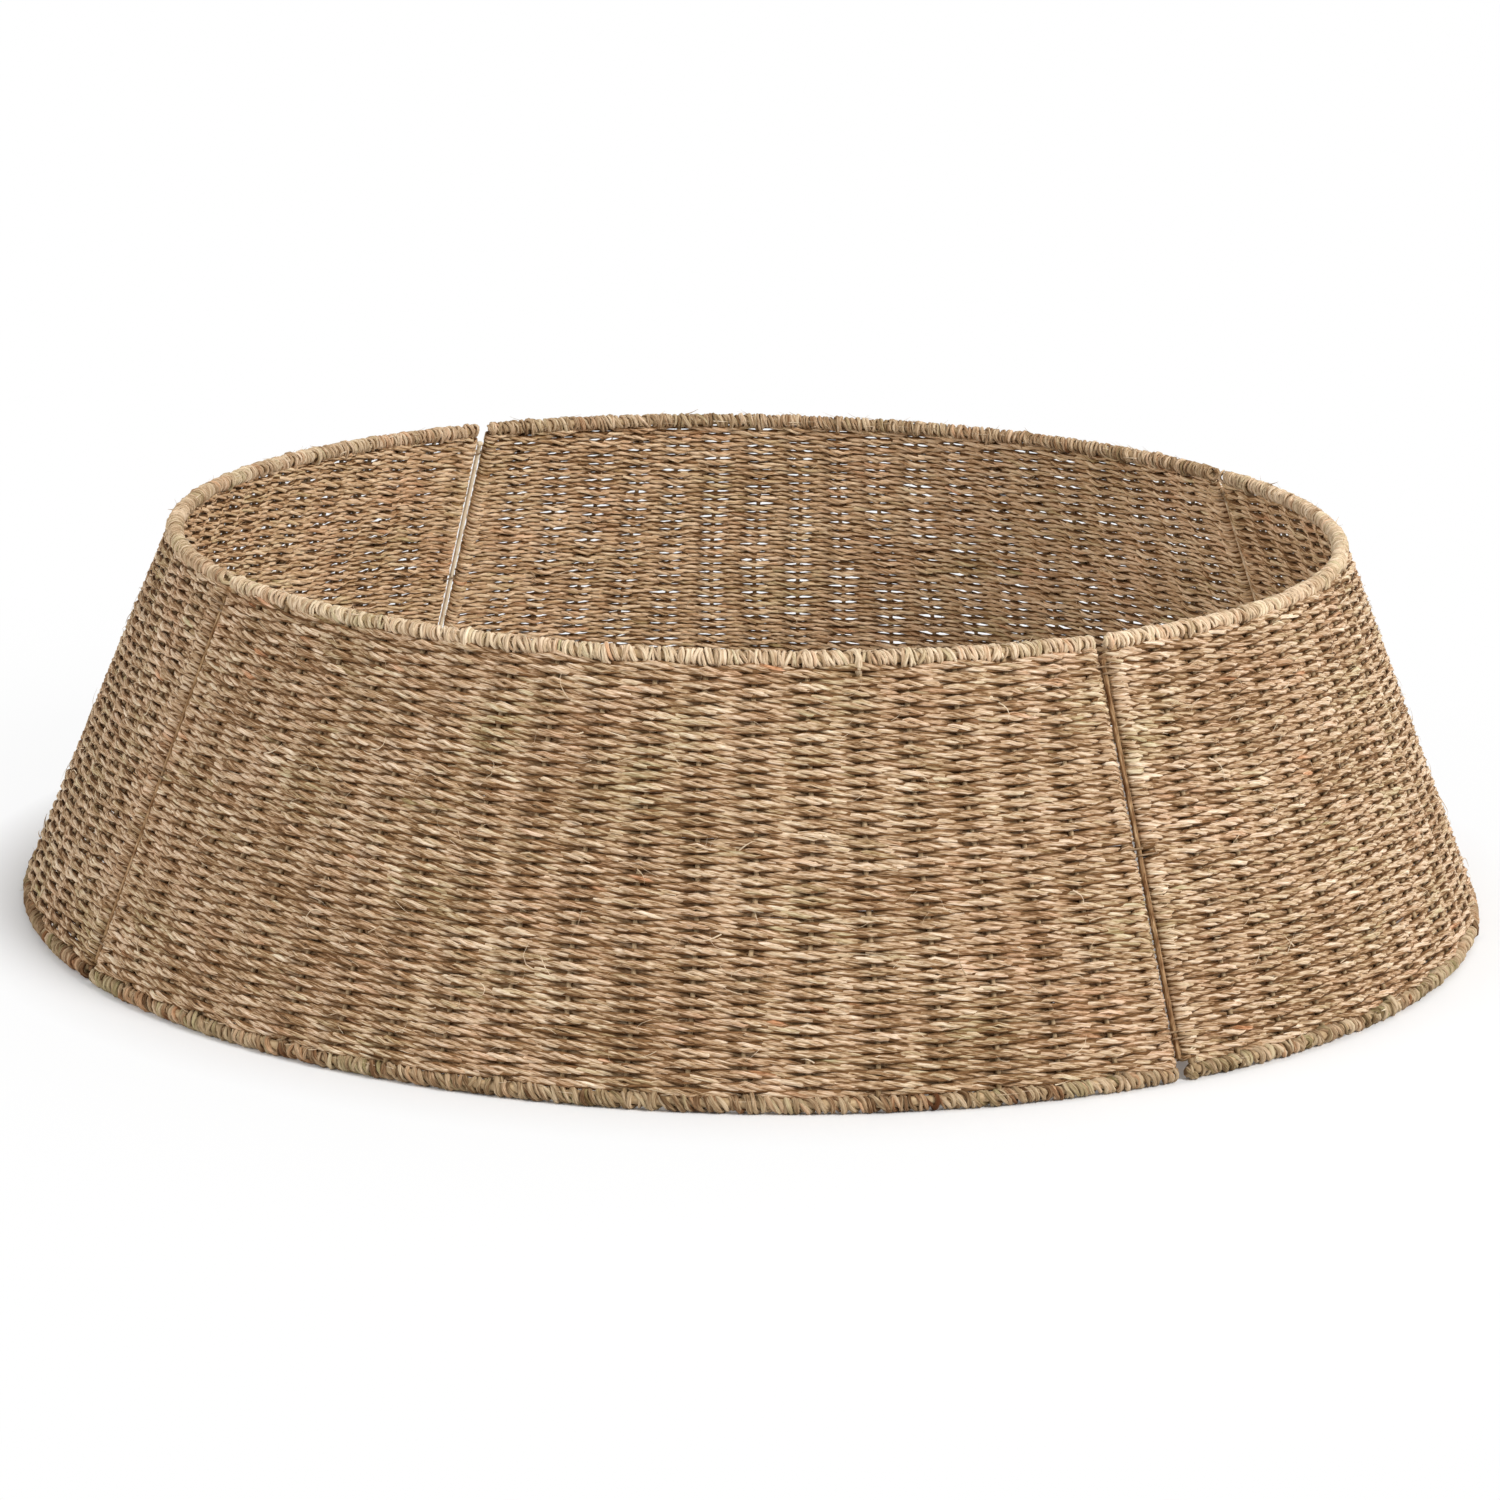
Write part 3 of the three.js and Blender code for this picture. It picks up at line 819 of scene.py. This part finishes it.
def whip_rim(panel, number, rim):
    rng = np.random.default_rng(rim["seed"] + number)
    rim_length = PANEL_ANGLE * ring_radius(rim["run"]) - 2 * rim["to_pin"]
    turns = round(rim_length / rim["pitch"])
    turn = np.linspace(0, turns, turns * WHIP_POINTS_PER_TURN + 1)
    wires = STAKE_SPACES + 1
    lashed = rng.uniform(*LASH_REACH, wires) * (rng.uniform(0, 1, wires) < rim["lashed"])
    lashed[[0, -1]] = 0
    patches = rim["patches"] * rng.normal(0, 1, (2, wires))
    lines = []
    for strand in range(rim["strands"]):
        shift = rim["gather"] * ((strand + 0.5) / rim["strands"] - 0.5)
        angle = whip_angle(rng, rim, shift, turn)
        place = whip_place(rim, angle)
        ring, height, thick = whip_strand(rng, rim, angle, turn, lash_over(rim, place, lashed))
        turned = angle + PANEL_ANGLE * number
        points = np.stack([ring * np.sin(turned), -ring * np.cos(turned), height], axis=-1)
        patch = patches[:, place.astype(int)]
        mottle = rim["mottle"] * ripple(rng, waves=12, low=0.05, high=0.9)(turn)
        tints = rim["tints"] * ripple(rng, waves=12, low=0.02, high=0.5)(turn)
        tone = rim["tone"][panel] + mottle + patch[0]
        line = {"points": points, "radius": thick, "tone": tone, "hue": MIDDLE + tints + patch[1]}
        apart = np.diff(path_length(points), prepend=-1) > LEAST_STEP
        lines.append({key: values[apart] for key, values in line.items()})
    piece = strand_piece(f"{panel}_{rim['name']}_whipping", lines, rim["material"], SIX_SIDED)
    fit(piece, f"{panel}_panel", rim["slot"], f"{panel}_{rim['name']}_binding")


# Wire frame: rails along the rims, side rails and stakes
def wire_frame(panel):
    lines = []
    for run in (0, WALL_RUN):
        place = np.linspace(0, STAKE_SPACES, RAIL_POINTS_PER_SPACE * STAKE_SPACES + 1)
        points = wall_points(panel, place_angle(place, run), run, 0)
        lines.append({"points": points, "radius": RAIL_RADIUS})
    for place in range(STAKE_SPACES + 1):
        run = np.linspace(0, WALL_RUN, STAKE_POINTS)
        edge = place in (0, STAKE_SPACES)
        points = wall_points(panel, place_angle(place, run), run, 0)
        lines.append({"points": points, "radius": SIDE_RAIL_RADIUS if edge else STAKE_RADIUS})
    piece = strand_piece(f"{panel}_wires", lines, FRAME_WIRE, EIGHT_SIDED)
    fit(piece, f"{panel}_panel", "wire_frame", f"{panel}_frame")


# Wire loops: an oval of bent wire round the side rail and the pin, or a cup that is open at the pin
def loop_outline(closed):
    at_rail = SIDE_RAIL_RADIUS + LOOP_GAP + LOOP_WIRE
    at_pin = PIN_RADIUS + LOOP_GAP + LOOP_WIRE
    flank = math.acos((at_rail - at_pin) / PIN_TO_RAIL)
    round_rail = np.linspace(flank, 2 * math.pi - flank, POINTS_ROUND_RAIL)
    outline = [np.c_[at_rail * np.cos(round_rail), at_rail * np.sin(round_rail)]]
    if closed:
        round_pin = np.linspace(-flank, flank, POINTS_ROUND_PIN)
        outline.append(np.c_[PIN_TO_RAIL + at_pin * np.cos(round_pin), at_pin * np.sin(round_pin)])
    else:
        tip = PIN_TO_RAIL - CUP_SETBACK - LOOP_WIRE
        outline.insert(0, np.array([[tip, at_pin]]))
        outline.append(np.array([[tip, -at_pin]]))
    return np.concatenate(outline)


def wire_loop(panel, kind, side, number, closed):
    step = (WALL_RUN - 2 * LOOP_INSET) / (LOOP_COUNT - 1)
    run = LOOP_INSET + step * number + (LOOP_LIFT if side > 0 else 0)
    outline = loop_outline(closed)
    place = STAKE_SPACES if side > 0 else 0
    angle = place_angle(place, run) + side * outline[:, 0] / ring_radius(run)
    line = {"points": wall_points(panel, angle, run, outline[:, 1]), "radius": LOOP_WIRE}
    name = f"{panel}_{kind}_{number + 1}"
    piece = strand_piece(f"{name}_wire", [line], LOOP_METAL, EIGHT_SIDED, cyclic=closed)
    fit(piece, f"{panel}_panel", "loop_wire", name)


def wire_loops(panel):
    for number in range(LOOP_COUNT):
        wire_loop(panel, "eye", -1, number, True)
        wire_loop(panel, "loop", 1, number, panel != CLOSING_PANEL)


# Cane pins with a small head
def cane_pin(panel):
    low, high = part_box(f"{panel}_pin")
    foot = (low.z - RIM_HEIGHT) / COS_LEAN
    top = (high.z - RIM_HEIGHT) / COS_LEAN
    shaft = np.linspace(foot + CANE_TIP, top - CANE_NECK, CANE_POINTS)
    below_top, head_radius = np.transpose(CANE_HEAD)
    run = np.concatenate([[foot], shaft, top - below_top])
    radius = np.concatenate([[CANE_TIP_RADIUS], np.full(CANE_POINTS, CANE_RADIUS), head_radius])
    points = wall_points(panel, np.full_like(run, -PANEL_ANGLE / 2), run, 0)
    mottle = CANE_MOTTLE * ripple(np.random.default_rng(CANE_SEED), waves=12, low=20, high=90)(run)
    line = {"points": points, "radius": radius, "tone": CANE_TONE[panel] + mottle}
    piece = strand_piece(f"{panel}_cane", [line], PIN_CANE, EIGHT_SIDED)
    fit(piece, f"{panel}_pin", "cane", f"{panel}_pin")


# Loose fibres that stand off the wall and the rims
def wall_fibre(panel, rng, step):
    place = rng.uniform(SPACES_FROM_EDGE, STAKE_SPACES - SPACES_FROM_EDGE)
    run = rng.uniform(RUN_FROM_RAIL, WALL_RUN - RUN_FROM_RAIL)
    side = rng.choice(FIBRE_SIDES)
    tilt = rng.normal(0, FIBRE_TILT) + rng.choice((0, math.pi)) + rng.normal(0, FIBRE_CURL) * step ** 2
    path = rng.uniform(*FIBRE_LENGTH) * step
    lift = rng.uniform(*FIBRE_LIFT)
    angle = place_angle(place, run) + path * np.cos(tilt) / ring_radius(run)
    out = side * (FIBRE_FOOT + lift * np.sin(FIBRE_ARCH * step))
    return wall_points(panel, angle, run + path * np.sin(tilt), out)


def rim_fibre(panel, rng, step, run):
    place = rng.uniform(SPACES_FROM_EDGE, STAKE_SPACES - SPACES_FROM_EDGE)
    around = rng.uniform(-0.5, 0.5) * math.pi
    path = rng.choice((-1, 1)) * rng.uniform(*RIM_FIBRE_LENGTH) * step
    away = RIM_FIBRE_FOOT + rng.uniform(*RIM_FIBRE_LIFT) * step ** RIM_FIBRE_BEND
    angle = place_angle(place, run) + path / ring_radius(run)
    return wall_points(panel, angle, run + away * math.cos(around), away * math.sin(around))


def loose_fibres(panel, number):
    rng = np.random.default_rng(FIBRE_SEED + number)
    step = np.linspace(0, 1, FIBRE_POINTS)
    fibres = [wall_fibre(panel, rng, step) for _ in range(WALL_FIBRES)]
    for run in (0, WALL_RUN):
        fibres += [rim_fibre(panel, rng, step, run) for _ in range(RIM_FIBRES)]
    lines = []
    for points in fibres:
        thick = FIBRE_RADIUS * rng.choice(FIBRE_THICKNESS)
        tone = rng.uniform(*LOOSE_TONE)
        lines.append({"points": points, "radius": thick * (FIBRE_TAPER - step), "tone": tone})
    piece = strand_piece(f"{panel}_fibres", lines, RIM_GRASS, FOUR_SIDED)
    fit(piece, f"{panel}_panel", "seagrass", f"{panel}_weave")


for number, panel in enumerate(PANELS):
    weave_panel(panel, number)
    whip_rim(panel, number, TOP_RIM)
    whip_rim(panel, number, BOTTOM_RIM)
    wire_frame(panel)
    wire_loops(panel)
    cane_pin(panel)
    loose_fibres(panel, number)

# Floor: white where it is seen, with the collar's soft shadow round its foot
WHITE = (1, 1, 1, 1)
FLOOR_SIZE = 6
FLOOR_GREY = (0.8, 0.8, 0.8, 1)
FLOOR_ROUGHNESS = 0.9
SHADOW_START = 0.376
SHADOW_EDGE = 0.42
SHADOW_END = 0.8
WHITE_AT_EDGE = 0.88
WHITE_BEYOND = 0.12

# Light of the surroundings where they are not seen, and the lamps: place, size and power
SURROUND_LIGHT = 0.42
LAMPS = {
    "key": ((2.75, -1.35, 2.35), 1.4, 122),
    "fill": ((-2.4, -2.0, 1.6), 2.0, 50),
    "back": ((0.6, 2.4, 2.4), 2.4, 36),
}

# Camera at the photograph's place, in metres, and the photograph's frame, in pixels
CAMERA_AZIMUTH = math.radians(13.0)
CAMERA_ELEVATION = math.radians(13.9)
CAMERA_DISTANCE = 2.348
CAMERA_AIM = Vector((0, 0, 0.097))
CAMERA_ROLL = math.radians(1.08)
SENSOR_WIDTH = 36
PHOTO_WIDTH = 1500
PHOTO_FOCAL = 4500
PHOTO_AIM = (754.9, 700.4)


# Rays that see the background, straight or by reflection
def background_rays(tree):
    path = tree.nodes.new("ShaderNodeLightPath")
    rays = path.outputs["Is Camera Ray"]
    for kind in ("Is Glossy Ray", "Is Transmission Ray"):
        either = tree.nodes.new("ShaderNodeMath")
        either.operation = "MAXIMUM"
        tree.links.new(rays, either.inputs[0])
        tree.links.new(path.outputs[kind], either.inputs[1])
        rays = either.outputs[0]
    return rays


def floor_white():
    nodes = Nodes("floor_white")
    tree = nodes.tree
    nodes.shader.inputs["Base Color"].default_value = FLOOR_GREY
    nodes.shader.inputs["Roughness"].default_value = FLOOR_ROUGHNESS
    glow = nodes.add("ShaderNodeEmission", Color=WHITE, Strength=1)
    distance = nodes.length(nodes.add("ShaderNodeTexCoord").outputs["Object"])
    near = nodes.range(distance, SHADOW_START, SHADOW_EDGE, 0, WHITE_AT_EDGE)
    far = nodes.range(distance, SHADOW_EDGE, SHADOW_END, 0, WHITE_BEYOND)
    share = nodes.math("MULTIPLY", background_rays(tree), nodes.math("ADD", near, far))
    mix = nodes.add("ShaderNodeMixShader", Fac=share)
    tree.links.new(nodes.shader.outputs[0], mix.inputs[1])
    tree.links.new(glow.outputs[0], mix.inputs[2])
    tree.links.new(mix.outputs[0], tree.nodes["Material Output"].inputs["Surface"])
    return nodes.material


def add_floor():
    shape = bmesh.new()
    bmesh.ops.create_grid(shape, x_segments=1, y_segments=1, size=FLOOR_SIZE)
    mesh = bpy.data.meshes.new("floor")
    shape.to_mesh(mesh)
    shape.free()
    mesh.materials.append(floor_white())
    floor = bpy.data.objects.new("floor", mesh)
    bpy.context.scene.collection.objects.link(floor)


def add_world():
    world = bpy.data.worlds.new("studio")
    bpy.context.scene.world = world
    world.use_nodes = True
    nodes = world.node_tree.nodes
    links = world.node_tree.links
    strength = nodes.new("ShaderNodeMapRange")
    strength.inputs["To Min"].default_value = SURROUND_LIGHT
    strength.inputs["To Max"].default_value = 1
    links.new(background_rays(world.node_tree), strength.inputs["Value"])
    nodes["Background"].inputs["Color"].default_value = WHITE
    links.new(strength.outputs["Result"], nodes["Background"].inputs["Strength"])


def add_lamp(name, place, size, power):
    lamp = bpy.data.lights.new(name, "AREA")
    lamp.size = size
    lamp.energy = power
    holder = bpy.data.objects.new(name, lamp)
    holder.location = place
    holder.rotation_euler = (-Vector(place)).to_track_quat("-Z", "Y").to_euler()
    bpy.context.scene.collection.objects.link(holder)


def add_camera():
    camera = bpy.data.cameras.new("camera")
    camera.sensor_width = SENSOR_WIDTH
    camera.lens = SENSOR_WIDTH * PHOTO_FOCAL / PHOTO_WIDTH
    camera.shift_x = 0.5 - PHOTO_AIM[0] / PHOTO_WIDTH
    camera.shift_y = PHOTO_AIM[1] / PHOTO_WIDTH - 0.5
    level = math.cos(CAMERA_ELEVATION)
    back = Vector((
        level * math.sin(CAMERA_AZIMUTH),
        -level * math.cos(CAMERA_AZIMUTH),
        math.sin(CAMERA_ELEVATION),
    ))
    holder = bpy.data.objects.new("camera", camera)
    turn = (-back).to_track_quat("-Z", "Y").to_matrix() @ Matrix.Rotation(CAMERA_ROLL, 3, "Z")
    holder.matrix_world = Matrix.LocRotScale(CAMERA_AIM + back * CAMERA_DISTANCE, turn, None)
    bpy.context.scene.collection.objects.link(holder)
    bpy.context.scene.camera = holder


add_floor()
add_world()
for name, (place, size, power) in LAMPS.items():
    add_lamp(name, place, size, power)
add_camera()
bpy.context.scene.view_settings.view_transform = "Standard"
